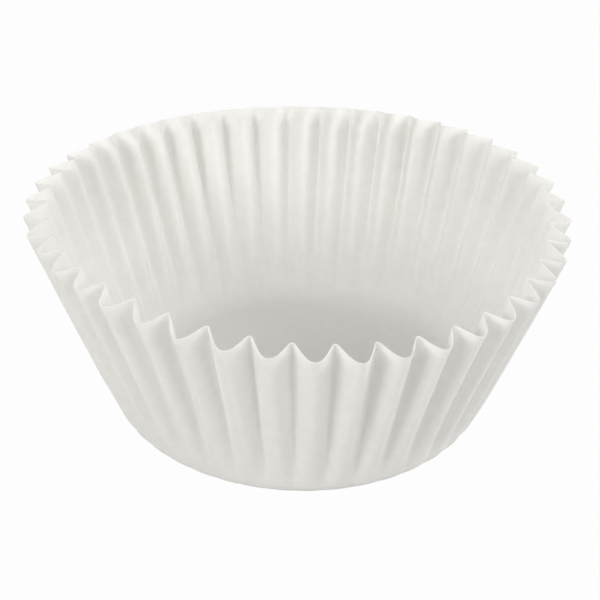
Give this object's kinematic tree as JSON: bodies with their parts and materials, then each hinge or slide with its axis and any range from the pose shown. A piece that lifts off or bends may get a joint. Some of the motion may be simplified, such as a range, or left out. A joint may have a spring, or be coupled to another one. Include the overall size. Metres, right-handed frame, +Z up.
{
  "type": "cupcake liner",
  "caption": "White paper cupcake liner: a thin cup with a flat round floor, a rounded bottom edge and a flared wall pressed into upright flutes up to a scalloped rim.",
  "frame": {"origin": "middle of the underside of the floor, on the surface that the cup stands on", "axes": "+Z up through the middle of the open mouth, +X through the crown of one outer fold"},
  "size_m": [0.072, 0.072, 0.0306],
  "materials": {
    "white_paper": "matte, slightly translucent, uncoated"
  },
  "bodies": {
    "root": {"baking_cup": "white_paper"}
  },
  "joints": []
}
